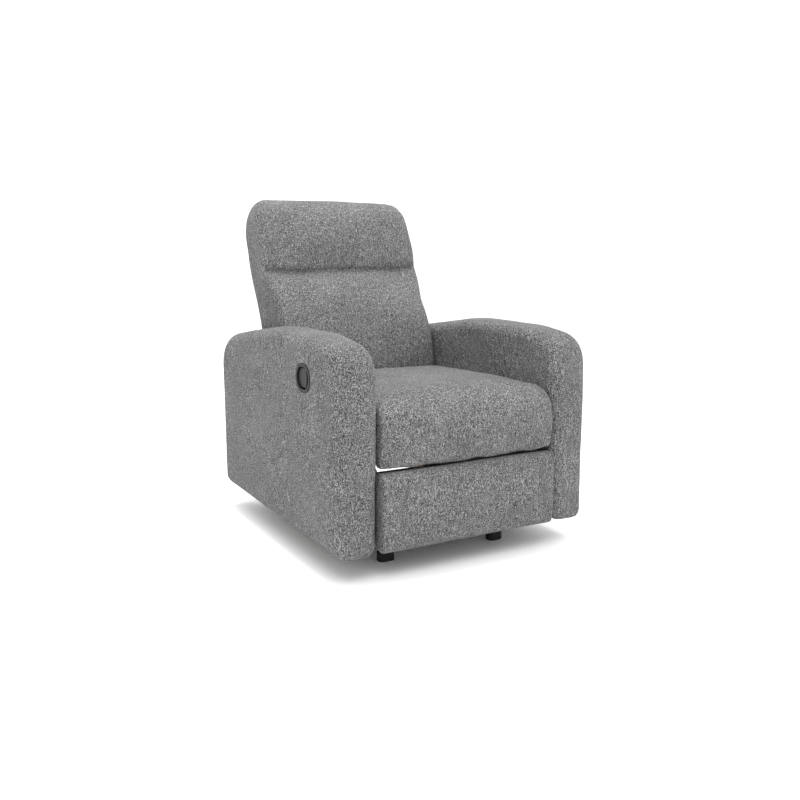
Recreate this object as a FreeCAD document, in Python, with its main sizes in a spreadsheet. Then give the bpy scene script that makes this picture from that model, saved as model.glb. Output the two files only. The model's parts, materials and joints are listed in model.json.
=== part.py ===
"""Rocker recliner armchair: a parametric document of its frame, mechanism and soft parts.

The chair faces -Y and stands on Z = 0; the sitter's right is -X. Lengths are millimetres.
"""
import FreeCAD, Part
import math
import os
import Sketcher

Vec = FreeCAD.Vector
SIDES = (("right", -1), ("left", 1))

# ---------------------------------------------------------------- driving dimensions
SIZES = {
    # overall
    "chair_width": 800.0,
    "arm_width": 122.0,
    "arm_wall": 20.0,
    "arm_round": 26.0,
    "arm_board": 10.0,
    "arm_gap": 0.5,
    "seat_half": 272.0,
    # footrest linkage, in the plane of its links
    "rear_link_len": 158.0,
    "front_link_len": 92.0,
    "half_link": 72.0,
    "pivot_y": -418.0,
    "pivot_z": 252.0,
    "travel_tilt": 8.0,
    "fold_angle": 88.0,
    "link_swing": 82.0,
    "link_half_width": 8.0,
    "pin_radius": 4.0,
    "pin_clearance": 0.05,
    "slot_clearance": 0.4,
    # layers of the mechanism, distances from the middle of the chair
    "plate": 3.0,
    "side_plate_x": 252.5,
    "bracket_x": 257.0,
    "front_link_x": 261.5,
    "rear_link_x": 266.0,
    "control_link_x": 270.5,
    "guide_x": 275.0,
    "shaft_radius": 8.0,
    "cross_tube_front": -300.0,
    "cross_tube_rear": 110.0,
    "cross_tube_z": 105.0,
    # seat on its slides, back on its hinge, and the pin that ties the two together
    "slide_front": -335.0,
    "slide_length": 390.0,
    "slide_low": 304.7,
    "slide_height": 16.0,
    "slide_thick": 13.0,
    "runner_front": -300.0,
    "runner_length": 320.0,
    "runner_height": 4.0,
    "runner_thick": 11.0,
    "runner_gap": 1.0,
    "hinge_y": 160.0,
    "hinge_z": 370.0,
    "cam_pin_reach": 60.0,
    "cam_pin_length": 14.0,
    "hinge_pin_length": 9.0,
    "bracket_inset": 0.9,
    "cam_clearance": 1.0,
    "recline_angle": 42.0,
    "seat_travel": 53.5,
    # base and rocker
    "base_x": 182.0,
    "base_wall": 3.0,
    "base_flange": 30.0,
    "base_low": 25.0,
    "base_top": 62.0,
    "base_front": -372.0,
    "base_back": 290.0,
    "base_tube_inset": 40.0,
    "base_tube_z": 41.0,
    "base_tube_radius": 10.0,
    "base_tube_bore": 8.0,
    "rocker_radius": 900.0,
    "rocker_y": -50.0,
    "rocker_gap": 3.7,
    "rocker_half_length": 130.0,
    "rocker_top": 117.0,
    "rocker_width": 24.0,
    "rocker_rail_front": -318.0,
    "rocker_rail_length": 516.0,
    "rocker_rail_height": 18.0,
    "tube_radius": 12.0,
    "tube_bore": 10.0,
    "foot_length": 50.0,
    "foot_width": 34.0,
    "front_foot_y": -348.0,
    "rear_foot_y": 250.0,
    "bumper_reach": 215.0,
    "bumper_radius": 10.0,
    "bumper_height": 33.0,
    # soft parts and boards
    "rail_width": 20.0,
    "rail_low": 325.0,
    "rail_top": 350.0,
    "rail_front": -455.0,
    "rail_length": 570.0,
    "front_rail_low": 306.0,
    "rear_rail_y": 72.0,
    "footrest_rear": -468.0,
    "board_thick": 12.0,
    "board_low": 104.0,
    "board_height": 150.0,
    "apron_y": 334.0,
    "apron_thick": 24.0,
    "apron_low": 82.0,
    "apron_height": 156.0,
    "apron_gap": 0.5,
    "spring_pitch": 30.0,
    "spring_swing": 9.0,
    "spring_gap": 95.0,
    "wire_radius": 1.9,
    "seat_spring_length": 500.0,
    "back_spring_length": 410.0,
    "back_half": 272.0,
    "side_pad": 28.0,
    "stile_width": 32.0,
    "stile_gap": 1.0,
    # latch in the outside of the right arm
    "cup_y": -299.0,
    "cup_z": 515.0,
    "cup_length": 95.0,
    "cup_height": 78.0,
    "cup_depth": 30.0,
    "cup_flange": 3.0,
    "cup_wall": 2.5,
    "cup_rim": 7.0,
    "lever_thick": 4.0,
    "lever_inset": 2.0,
    "lever_pin_y": -266.0,
    "lever_pin_radius": 2.5,
    "lever_pin_height": 23.0,
    "hole_extra": 1.0,
    "hole_depth": 47.0,
    "cable_radius": 2.5,
    "cable_x": -366.5,
    "cable_y": -340.0,
    "cable_z": 200.0,
    "cable_bend": 60.0,
}

doc = FreeCAD.newDocument("recliner_armchair")
sheet = doc.addObject("Spreadsheet::Sheet", "Sizes")
for row, (word, value) in enumerate(SIZES.items(), start=1):
    sheet.set(f"A{row}", word)
    sheet.set(f"B{row}", str(value))
    sheet.setAlias(f"B{row}", word)
doc.recompute()

subparts = []


def size(word):
    """Value of one cell of the sheet."""
    return float(getattr(sheet, word))


def bind(thing, **expressions):
    """Bind properties of an object to cells: word names are written as they stand."""
    for prop, text in expressions.items():
        path = prop.replace("_at_", "Placement.Base.")
        for word in sorted(SIZES, key=len, reverse=True):
            text = text.replace(f"<{word}>", f"Sizes.{word}")
        thing.setExpression(path, text)
    return thing


def keep(thing, node):
    """Name an object as a sub-part of the chair."""
    thing.Label = node
    subparts.append(thing)
    return thing


# ---------------------------------------------------------------- building blocks
def line(start, end):
    return Part.LineSegment(Vec(*start, 0), Vec(*end, 0))


def arc(start, middle, end):
    return Part.Arc(Vec(*start, 0), Vec(*middle, 0), Vec(*end, 0))


def chain(points):
    """Closed outline: a point is (u, v), and (u, v, "arc") is the middle of an arc."""
    edges = []
    count = len(points)
    index = 0
    while index < count:
        start = points[index][:2]
        middle = points[(index + 1) % count]
        if len(middle) == 3:
            end = points[(index + 2) % count][:2]
            edges.append(arc(start, middle[:2], end))
            index += 2
        else:
            edges.append(line(start, middle[:2]))
            index += 1
    return edges


def rounded(points):
    """Closed outline of straight runs: a point is (u, v) or (u, v, radius of its corner)."""
    count = len(points)
    starts, ends, middles = [], [], []
    for index, point in enumerate(points):
        here = Vec(point[0], point[1], 0)
        back = (Vec(*points[index - 1][:2], 0) - here).normalize()
        ahead = (Vec(*points[(index + 1) % count][:2], 0) - here).normalize()
        radius = point[2] if len(point) == 3 else 0.0
        half = back.getAngle(ahead) / 2
        run = radius / math.tan(half)
        starts.append(here + back * run)
        ends.append(here + ahead * run)
        inward = (back + ahead).normalize()
        middles.append(here + inward * (radius / math.sin(half) - radius))
    edges = []
    for index in range(count):
        if (ends[index] - starts[index]).Length > 1e-6:
            edges.append(Part.Arc(starts[index], middles[index], ends[index]))
        following = starts[(index + 1) % count]
        if (following - ends[index]).Length > 1e-6:
            edges.append(Part.LineSegment(ends[index], following))
    return edges


def outline_edges(points):
    """Edges of an outline in either of the two ways of writing one."""
    if any(point[-1] == "arc" for point in points):
        return chain(points)
    return rounded(points)


def sketch_on(body, role, name, offset=0.0):
    """Sketch on one of the body's own origin planes, moved along its normal."""
    plane = next(f for f in body.Origin.OriginFeatures if f.Role == role)
    drawing = body.newObject("Sketcher::SketchObject", name)
    drawing.AttachmentSupport = [(plane, "")]
    drawing.MapMode = "FlatFace"
    drawing.AttachmentOffset = FreeCAD.Placement(Vec(0, 0, offset), FreeCAD.Rotation())
    return drawing


def circle(drawing, centre, radius_text):
    """Circle whose radius is bound to the sheet."""
    index = drawing.addGeometry(Part.Circle(Vec(*centre, 0), Vec(0, 0, 1), 1.0))
    number = drawing.addConstraint(Sketcher.Constraint("Radius", index, 1.0))
    bind(drawing, **{f"Constraints[{number}]": radius_text})


def pad(body, drawing, length_text):
    feature = body.newObject("PartDesign::Pad", "Pad")
    feature.Profile = drawing
    bind(feature, Length=length_text)
    return feature


def pocket(body, drawing, length_text):
    """Pocket that reaches along the sketch's normal, checked by the volume it takes away."""
    doc.recompute()
    before = body.Shape.Volume
    feature = body.newObject("PartDesign::Pocket", "Pocket")
    feature.Profile = drawing
    bind(feature, Length=length_text)
    feature.Reversed = True
    doc.recompute()
    if body.Shape.Volume > before - 1.0:
        raise RuntimeError(f"{body.Name}: a pocket cuts nothing")
    return feature


def plate(node, role, outline, thickness, holes=(), slots=(), shift=None):
    """Flat piece: an outline with round holes and slots, padded along the plane's normal."""
    body = doc.addObject("PartDesign::Body", node)
    drawing = sketch_on(body, role, node + "_outline")
    for edge in outline_edges(outline):
        drawing.addGeometry(edge)
    for centre, radius_text in holes:
        circle(drawing, centre, radius_text)
    for slot in slots:
        for edge in chain(slot):
            drawing.addGeometry(edge)
    pad(body, drawing, thickness)
    if shift:
        bind(body, **shift)
    return keep(body, node)


def slot_outline(start, end, radius):
    """Outline with two round ends between two points."""
    along = Vec(end[0] - start[0], end[1] - start[1], 0).normalize()
    side = Vec(-along.y, along.x, 0) * radius

    def at(point, offset):
        return (point[0] + offset.x, point[1] + offset.y)

    return [
        at(start, side), at(start, along * -radius) + ("arc",), at(start, side * -1),
        at(end, side * -1), at(end, along * radius) + ("arc",), at(end, side),
    ]


def arc_slot_outline(start, middle, end, radius):
    """Outline of a slot about the arc through three points, with round ends."""
    bend = arc(start, middle, end).toShape().Curve
    centre, turn = bend.Center, bend.Radius

    def beside(point, offset):
        out = (Vec(*point, 0) - centre).normalize()
        place = centre + out * (turn + offset)
        return (place.x, place.y)

    def beyond(point):
        out = (Vec(*point, 0) - centre).normalize()
        way = Vec(-out.y, out.x, 0)
        if way.dot(Vec(*point, 0) - Vec(*middle, 0)) < 0:
            way = way * -1
        place = Vec(*point, 0) + way * radius
        return (place.x, place.y, "arc")

    return [
        beside(start, radius), beside(middle, radius) + ("arc",), beside(end, radius),
        beyond(end), beside(end, -radius), beside(middle, -radius) + ("arc",),
        beside(start, -radius), beyond(start),
    ]


def at_side(x_word, side):
    """Expression for a plate's near face: the right side's plate is padded back to it."""
    return f"<{x_word}>" if side > 0 else f"-<{x_word}> - <plate>"


def rod(name, radius, height, x, y, z):
    """Cylinder along X."""
    piece = doc.addObject("Part::Cylinder", name)
    piece.Placement = FreeCAD.Placement(Vec(0, 0, 0), FreeCAD.Rotation(Vec(0, 1, 0), 90))
    return bind(piece, Radius=radius, Height=height, _at_x=x, _at_y=y, _at_z=z)


def box(name, length, width, height, x, y, z):
    piece = doc.addObject("Part::Box", name)
    return bind(piece, Length=length, Width=width, Height=height, _at_x=x, _at_y=y, _at_z=z)


def cut(name, base, tool):
    piece = doc.addObject("Part::Cut", name)
    piece.Base = base
    piece.Tool = tool
    return piece


def fuse(name, shapes):
    piece = doc.addObject("Part::MultiFuse", name)
    piece.Shapes = shapes
    return piece


def group(node, shapes):
    """Several like pieces that share one sub-part as separate solids."""
    piece = doc.addObject("Part::Compound", node)
    piece.Links = shapes
    return keep(piece, node)


def round_edges(body, radius_text, choose):
    """Fillet the edges of the body's last feature that a test picks out."""
    doc.recompute()
    base = body.Tip
    names = [f"Edge{i}" for i, edge in enumerate(base.Shape.Edges, start=1) if choose(edge)]
    feature = body.newObject("PartDesign::Fillet", "Fillet")
    feature.Base = (base, names)
    bind(feature, Radius=radius_text)
    doc.recompute()
    return feature


# ---------------------------------------------------------------- footrest geometry
def linkage():
    """Pivots of the folded footrest linkage, as (y, z), with the chair's front at -Y."""
    tilt = math.radians(size("travel_tilt"))
    fold = math.radians(size("fold_angle"))
    down = (-math.cos(tilt - fold), math.sin(tilt - fold))
    up = (-math.cos(tilt + fold), math.sin(tilt + fold))
    pivot = (size("pivot_y"), size("pivot_z"))

    def step(start, direction, length):
        return (start[0] + direction[0] * length, start[1] + direction[1] * length)

    cross = step(pivot, down, size("half_link"))
    knee = step(pivot, down, size("rear_link_len"))
    unfolded = fold - math.radians(size("link_swing"))
    slot_way = (-math.sin(tilt), -math.cos(tilt))
    reach = 2 * size("half_link")
    return {
        "pivot": pivot,
        "cross": cross,
        "knee": knee,
        "bracket": step(knee, up, size("front_link_len")),
        "upper": step(cross, up, size("front_link_len")),
        "roller": step(cross, up, -size("half_link")),
        "slot_low": step(pivot, slot_way, reach),
        "slot_high": step(pivot, slot_way, reach * math.sin(unfolded)),
    }


def cam_point(turn):
    """Place of the back's cam pin, as (y, z), when the back has turned by an angle."""
    slide = size("seat_travel") * turn / math.radians(size("recline_angle"))
    return (size("hinge_y") - slide + size("cam_pin_reach") * math.cos(turn),
            size("hinge_z") - size("cam_pin_reach") * math.sin(turn))


# ---------------------------------------------------------------- base
def make_base():
    for name, side in SIDES:
        body = doc.addObject("PartDesign::Body", f"base_rail_{name}")
        drawing = sketch_on(body, "XZ_Plane", f"base_rail_{name}_section")
        low, top, wall = size("base_low"), size("base_top"), size("base_wall")
        half = size("base_flange") / 2
        corners = [(-half, top), (-half, low), (-half + wall, low), (-half + wall, top - wall),
                   (half, top - wall), (half, top)]
        for edge in chain([(side * u, v) for u, v in corners]):
            drawing.addGeometry(edge)
        pad(body, drawing, "<base_back> - <base_front>")
        bind(body, _at_x=f"{side} * <base_x>", _at_y="<base_back>")
        keep(body, body.Name)

    tubes = []
    for end, place in (("front", "<base_front> + <base_tube_inset>"),
                       ("rear", "<base_back> - <base_tube_inset>")):
        span, start = "2 * <base_x> - <base_flange>", "-<base_x> + <base_flange> / 2"
        outer = rod(f"base_tube_{end}_outer", "<base_tube_radius>", span, start, place,
                    "<base_tube_z>")
        inner = rod(f"base_tube_{end}_bore", "<base_tube_bore>", span, start, place,
                    "<base_tube_z>")
        tubes.append(cut(f"base_tube_{end}", outer, inner))
    group("base_cross_tubes", tubes)

    feet = []
    for place in ("<front_foot_y>", "<rear_foot_y>"):
        for name, side in SIDES:
            foot = doc.addObject("PartDesign::Body", f"foot_{name}")
            drawing = sketch_on(foot, "XY_Plane", "foot_outline")
            reach = (size("foot_length") - size("foot_width")) / 2
            outline = slot_outline((-reach, 0), (reach, 0), size("foot_width") / 2)
            for edge in chain(outline):
                drawing.addGeometry(edge)
            pad(foot, drawing, "<base_low>")
            round_edges(foot, "<base_wall>", lambda e: abs(e.BoundBox.ZMax) < 0.01)
            bind(foot, _at_x=f"{side} * <base_x>", _at_y=place)
            feet.append(foot)
    group("feet", feet)

    bumpers = []
    for place in ("<rocker_y> - <bumper_reach>", "<rocker_y> + <bumper_reach>"):
        for name, side in SIDES:
            bumper = doc.addObject("Part::Cylinder", f"bumper_{name}")
            bind(bumper, Radius="<bumper_radius>", Height="<bumper_height>",
                 _at_x=f"{side} * <base_x>", _at_y=place, _at_z="<base_top>")
            bumpers.append(bumper)
    group("rock_bumpers", bumpers)


# ---------------------------------------------------------------- shell and mechanism plates
ARM_OUTLINE = [
    (-484, 73), (-508, 430, 500), (-506, 604, 76), (-330, 628, 400), (-40, 634, 700),
    (320, 585, 200), (421, 550, 90), (408, 380, 500), (372, 73, 36),
]
ARM_HOLLOW = [
    (-466, 72), (-487, 430, 500), (-485, 582, 56), (-330, 604, 400), (-40, 610, 700),
    (314, 562, 180), (398, 530, 60), (386, 380, 500), (352, 72),
]
ARM_BOX = [
    (-462, 74), (-483, 430, 500), (-481, 570, 50), (-330, 594, 400), (-40, 600, 700),
    (306, 554, 160), (388, 520, 50), (376, 380, 500), (346, 74),
]
ARM_BOX_INSIDE = [
    (-422, 74), (-441, 430), (-440, 514), (-330, 554), (-40, 560), (290, 518), (344, 484),
    (334, 380), (304, 74),
]


def make_arm(name, side):
    """Padded cover over a wooden box, open below, with the latch's hole in the right one."""
    cover = doc.addObject("PartDesign::Body", f"arm_padding_{name}")
    drawing = sketch_on(cover, "YZ_Plane", f"arm_outline_{name}")
    for edge in rounded(ARM_OUTLINE):
        drawing.addGeometry(edge)
    pad(cover, drawing, "<arm_width>")
    round_edges(cover, "<arm_round>",
                lambda e: e.BoundBox.XLength < 1 and e.BoundBox.ZMax > 80)
    hollow = sketch_on(cover, "YZ_Plane", f"arm_hollow_{name}", size("arm_wall"))
    for edge in rounded(ARM_HOLLOW):
        hollow.addGeometry(edge)
    pocket(cover, hollow, "<arm_width> - 2 * <arm_wall>")
    place = "<chair_width> / 2 - <arm_width>" if side > 0 else "-<chair_width> / 2"
    bind(cover, _at_x=place)
    doc.recompute()

    inset = size("arm_wall") + size("arm_gap")
    depth = size("arm_width") - 2 * inset
    boards = doc.addObject("PartDesign::Body", f"arm_frame_{name}_box")
    drawing = sketch_on(boards, "YZ_Plane", f"arm_frame_outline_{name}")
    for edge in rounded(ARM_BOX):
        drawing.addGeometry(edge)
    pad(boards, drawing, "<arm_width> - 2 * <arm_wall> - 2 * <arm_gap>")
    inside = sketch_on(boards, "YZ_Plane", f"arm_frame_inside_{name}", size("arm_board"))
    for edge in rounded(ARM_BOX_INSIDE):
        inside.addGeometry(edge)
    pocket(boards, inside, "<arm_width> - 2 * <arm_wall> - 2 * <arm_gap> - 2 * <arm_board>")
    start = size("chair_width") / 2 - size("arm_width") + inset
    boards.Placement.Base = Vec(start if side > 0 else -start - depth, 0, 0)
    doc.recompute()
    if side > 0:
        keep(cover, f"arm_cover_{name}")
        keep(boards, f"arm_frame_{name}")
        return
    opening = cup_opening("cup_hole", size("hole_extra"), "-<chair_width> / 2 - 5", "<hole_depth>")
    cable_way = rod("cable_way", "<cable_radius> + 2", "80", "-335", "<cable_y>", "<cable_z>")
    tools = fuse("latch_way", [opening, cable_way])
    keep(cut("arm_cover_right_cut", cover, tools), "arm_cover_right")
    keep(cut("arm_frame_right_cut", boards, tools), "arm_frame_right")


def cup_opening(name, extra, x_text, length_text):
    """Solid with the oval outline of the latch's cup, grown all round."""
    body = doc.addObject("PartDesign::Body", name)
    drawing = sketch_on(body, "YZ_Plane", name + "_oval")
    height = size("cup_height") - 2 * size("cup_rim") + 2 * extra
    reach = (size("cup_length") - size("cup_height")) / 2
    for edge in chain(slot_outline((-reach, 0), (reach, 0), height / 2)):
        drawing.addGeometry(edge)
    pad(body, drawing, length_text)
    return bind(body, _at_x=x_text, _at_y="<cup_y>", _at_z="<cup_z>")


def make_cup():
    """Oval plastic cup with a flange, its back closed, and the sprung lever inside it."""
    flange = doc.addObject("PartDesign::Body", "cup_flange_plate")
    drawing = sketch_on(flange, "YZ_Plane", "cup_flange_oval")
    reach = (size("cup_length") - size("cup_height")) / 2
    for edge in chain(slot_outline((-reach, 0), (reach, 0), size("cup_height") / 2)):
        drawing.addGeometry(edge)
    pad(flange, drawing, "<cup_flange>")
    round_edges(flange, "<cup_flange> / 2", lambda e: abs(e.BoundBox.XMax) < 0.01)
    bind(flange, _at_x="-<chair_width> / 2 - <cup_flange>", _at_y="<cup_y>", _at_z="<cup_z>")
    wall = cup_opening("cup_wall_solid", 0.0, "-<chair_width> / 2", "<cup_depth>")
    inside = cup_opening("cup_inside", -size("cup_wall"), "-<chair_width> / 2 - 10",
                         "<cup_depth> + 10 - <cup_wall>")
    keep(cut("cup_bezel_cut", fuse("cup_body", [flange, wall]), inside), "cup_bezel")

    lever = doc.addObject("PartDesign::Body", "latch_lever_plate")
    drawing = sketch_on(lever, "YZ_Plane", "lever_outline")
    half = size("cup_height") / 2 - size("cup_rim") - 6.5
    back, front = reach + 8, -reach - 4
    for edge in chain([(front, -half), (back, -half), (back + half - 7, 0, "arc"),
                       (back, half), (front, half), (front - 5, 0, "arc")]):
        drawing.addGeometry(edge)
    pad(lever, drawing, "<lever_thick>")
    bind(lever, _at_x="-<chair_width> / 2 + <lever_inset>", _at_y="<cup_y>", _at_z="<cup_z>")
    pin = doc.addObject("Part::Cylinder", "latch_lever_pin")
    bind(pin, Radius="<lever_pin_radius>", Height="<lever_pin_height>",
         _at_x="-<chair_width> / 2 + <lever_inset> + <lever_thick> / 2", _at_y="<lever_pin_y>",
         _at_z="<cup_z> - <lever_pin_height> / 2")
    keep(fuse("latch_lever_fused", [lever, pin]), "latch_lever")


def make_cable():
    """Release cable: down inside the arm, then in to the mechanism's side plate."""
    radius = size("cable_radius")
    start = Vec(size("cable_x"), size("cup_y"), size("cup_z") - 3)
    corner = Vec(size("cable_x"), size("cable_y"), size("cable_z"))
    end = Vec(-size("side_plate_x") - size("plate"), size("cable_y"), size("cable_z"))
    bend = size("cable_bend")
    down = (corner - start).normalize()
    across = (end - corner).normalize()
    before = corner - down * bend
    after = corner + across * bend
    middle = corner + (before + after - corner * 2) * (1 - math.sqrt(0.5))
    path = Part.Wire([
        Part.LineSegment(start, before).toShape(),
        Part.Arc(before, middle, after).toShape(),
        Part.LineSegment(after, end).toShape(),
    ])
    ring = Part.Wire([Part.Circle(start, down, radius).toShape()])
    cable = doc.addObject("Part::Feature", "release_cable")
    cable.Shape = path.makePipeShell([ring], True, False)
    keep(cable, "release_cable")


def make_mechanism_plates(points):
    """Side plates with the back's cam slot, guide plates, slide rails and cross tubes."""
    pivot, slot_low, slot_high = points["pivot"], points["slot_low"], points["slot_high"]
    full_turn = math.radians(size("recline_angle"))
    cam_slot = arc_slot_outline(cam_point(0), cam_point(full_turn / 2), cam_point(full_turn),
                                size("pin_radius") + size("cam_clearance"))
    tube_places = [(size("cross_tube_front"), size("cross_tube_z")),
                   (size("cross_tube_rear"), size("cross_tube_z"))]
    tube_holes = [(place, "<tube_radius> + 0.1") for place in tube_places]
    for name, side in SIDES:
        plate(f"side_plate_{name}", "YZ_Plane",
              [(-436, 90, 12), (140, 90, 20), (140, 262, 30), (200, 290, 30), (238, 345, 20),
               (236, 388, 14), (204, 388, 14), (134, 345, 12), (134, 318), (-385, 318, 20),
               (-436, 275, 20)],
              "<plate>",
              holes=[(pivot, "<shaft_radius> + <pin_clearance>")] + tube_holes,
              slots=[cam_slot], shift={"_at_x": at_side("side_plate_x", side)})
        slot = slot_outline(slot_low, slot_high, size("pin_radius") + size("slot_clearance"))
        plate(f"guide_plate_{name}", "YZ_Plane",
              [(-456, 92, 8), (-398, 92, 8), (-398, 270, 8), (-456, 270, 8)],
              "<plate>", slots=[slot], shift={"_at_x": at_side("guide_x", side)})

    rails = []
    for name, side in SIDES:
        near = "<side_plate_x> + <plate>" if side > 0 else "-<side_plate_x> - <plate> - <slide_thick>"
        rails.append(box(f"slide_rail_{name}", "<slide_thick>", "<slide_length>",
                         "<slide_height>", near, "<slide_front>", "<slide_low>"))
    group("slide_rails", rails)

    tubes = []
    span, start = "2 * (<guide_x> + <plate>)", "-<guide_x> - <plate>"
    for end in ("front", "rear"):
        place = f"<cross_tube_{end}>"
        outer = rod(f"cross_tube_{end}_outer", "<tube_radius>", span, start, place,
                    "<cross_tube_z>")
        inner = rod(f"cross_tube_{end}_bore", "<tube_bore>", span, start, place,
                    "<cross_tube_z>")
        tubes.append(cut(f"cross_tube_{end}_pipe", outer, inner))
    group("cross_tubes", tubes)


def make_rocker():
    radius, half = size("rocker_radius"), size("rocker_half_length")
    low = size("base_top") + size("rocker_gap")
    rise = radius - math.sqrt(radius ** 2 - half ** 2)
    for name, side in SIDES:
        plate(f"rocker_cam_{name}", "YZ_Plane",
              [(-half, low + rise), (0, low, "arc"), (half, low + rise),
               (half, size("rocker_top")), (-half, size("rocker_top"))],
              "<rocker_width>",
              shift={"_at_x": f"{side} * <base_x> - <rocker_width> / 2", "_at_y": "<rocker_y>"})
        keep(box(f"rocker_rail_{name}", "<rocker_width>", "<rocker_rail_length>",
                 "<rocker_rail_height>", f"{side} * <base_x> - <rocker_width> / 2",
                 "<rocker_rail_front>", "<rocker_top>"), f"rocker_rail_{name}")


def make_apron():
    """Padded board that closes the back of the shell below the reclining back."""
    panel = box("rear_apron_board", "2 * (<chair_width> / 2 - <arm_width> - <apron_gap>)",
                "<apron_thick>", "<apron_height>",
                "-<chair_width> / 2 + <arm_width> + <apron_gap>", "<apron_y>", "<apron_low>")
    keep(panel, "rear_apron")


# ---------------------------------------------------------------- seat
def make_seat():
    cushion = doc.addObject("PartDesign::Body", "seat_cushion")
    drawing = sketch_on(cushion, "YZ_Plane", "seat_cushion_outline")
    for edge in rounded([
        (-501, 300, 6), (-513, 350, 150), (-509, 494, 64), (-280, 499, 900), (100, 468, 16),
        (98, 354), (-462, 354), (-462, 300),
    ]):
        drawing.addGeometry(edge)
    pad(cushion, drawing, "2 * <seat_half>")
    round_edges(cushion, "16",
                lambda e: e.BoundBox.XLength < 1 and e.BoundBox.ZMax > 400 and e.Length > 80)
    bind(cushion, _at_x="-<seat_half>")
    keep(cushion, "seat_cushion")

    for name, side in SIDES:
        near = "<seat_half> - <rail_width>" if side > 0 else "-<seat_half>"
        keep(box(f"seat_rail_{name}", "<rail_width>", "<rail_length>", "<rail_top> - <rail_low>",
                 near, "<rail_front>", "<rail_low>"), f"seat_side_rail_{name}")
    keep(box("seat_rail_front", "2 * (<seat_half> - <rail_width>)", "<rail_width>",
             "<rail_top> - <front_rail_low>", "-<seat_half> + <rail_width>", "<rail_front>",
             "<front_rail_low>"), "seat_front_rail")
    keep(box("seat_rail_rear", "2 * (<seat_half> - <rail_width> - <plate>)", "<rail_width>",
             "<rail_top> - <rail_low>", "-<seat_half> + <rail_width> + <plate>",
             "<rear_rail_y>", "<rail_low>"), "seat_rear_rail")

    runners = []
    for name, side in SIDES:
        inner = "<side_plate_x> + <plate> + <runner_gap>"
        near = inner if side > 0 else f"-({inner}) - <runner_thick>"
        runners.append(box(f"seat_runner_{name}", "<runner_thick>", "<runner_length>",
                           "<runner_height>", near, "<runner_front>",
                           "<rail_low> - <runner_height>"))
    group("seat_runners", runners)

    hinge = (size("hinge_y"), size("hinge_z"))
    for name, side in SIDES:
        near = "<seat_half> - <rail_width> - <plate>" if side > 0 else "-<seat_half> + <rail_width>"
        plate(f"seat_hinge_{name}", "YZ_Plane",
              [(40, 327, 4), (112, 327, 20), (176, 358, 14), (176, 384, 14), (150, 384, 14),
               (112, 348, 20), (40, 348, 4)],
              "<plate>", holes=[(hinge, "<pin_radius> + <pin_clearance>")],
              shift={"_at_x": near})


def zigzag(length, pitch, swing):
    """Flat wire path of straight runs and half circles, along +Y from the origin."""
    edges = []
    radius = pitch / 2
    along = 0.0
    turn = 1
    previous = Vec(0, 0, 0)
    while along + pitch < length:
        near = Vec(turn * swing, along, 0)
        edges.append(Part.LineSegment(previous, near).toShape())
        far = Vec(turn * swing, along + pitch, 0)
        crown = Vec(turn * (swing + radius), along + radius, 0)
        edges.append(Part.Arc(near, crown, far).toShape())
        previous = far
        along += pitch
        turn = -turn
    edges.append(Part.LineSegment(previous, Vec(0, along, 0)).toShape())
    return Part.Wire(edges)


def make_springs():
    """Sinuous springs of the seat and of the back, each a separate bent wire."""
    ring = Part.Wire([Part.Circle(Vec(0, 0, 0), Vec(1, 0, 0), size("wire_radius")).toShape()])
    flat = FreeCAD.Rotation()
    upright = FreeCAD.Rotation(Vec(1, 0, 0), 90.0 - BACK_TILT)
    for node, length, rows, start, turn in (
            ("seat_springs", "seat_spring_length", (-2, -1, 0, 1, 2), (-430.0, 344.0), flat),
            ("back_springs", "back_spring_length", (-1.5, -0.5, 0.5, 1.5), (245.0, 452.0),
             upright)):
        path = zigzag(size(length), size("spring_pitch"), size("spring_swing"))
        wire = path.makePipeShell([ring], True, False)
        springs = []
        for row in rows:
            spring = wire.copy()
            spring.Placement = FreeCAD.Placement(Vec(row * size("spring_gap"), *start), turn)
            springs.append(spring)
        feature = doc.addObject("Part::Feature", node)
        feature.Shape = Part.makeCompound(springs)
        keep(feature, node)


# ---------------------------------------------------------------- back
BACK_TILT = 23.0
STILE_FOOT = (186.0, 340.0)
STILE_LENGTH = 570.0
STILE_DEPTH = 34.0


def along_back(up, rearward):
    """Point of the back's frame plane, as (y, z), from its foot."""
    lean = math.radians(BACK_TILT)
    return (STILE_FOOT[0] + up * math.sin(lean) + rearward * math.cos(lean),
            STILE_FOOT[1] + up * math.cos(lean) - rearward * math.sin(lean))


def soft_slab(node, outline, radius_text, half_word, choose):
    body = doc.addObject("PartDesign::Body", node)
    drawing = sketch_on(body, "YZ_Plane", node + "_outline")
    for edge in rounded(outline):
        drawing.addGeometry(edge)
    pad(body, drawing, f"2 * <{half_word}>")
    round_edges(body, radius_text, choose)
    bind(body, _at_x=f"-<{half_word}>")
    return keep(body, node)


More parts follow.
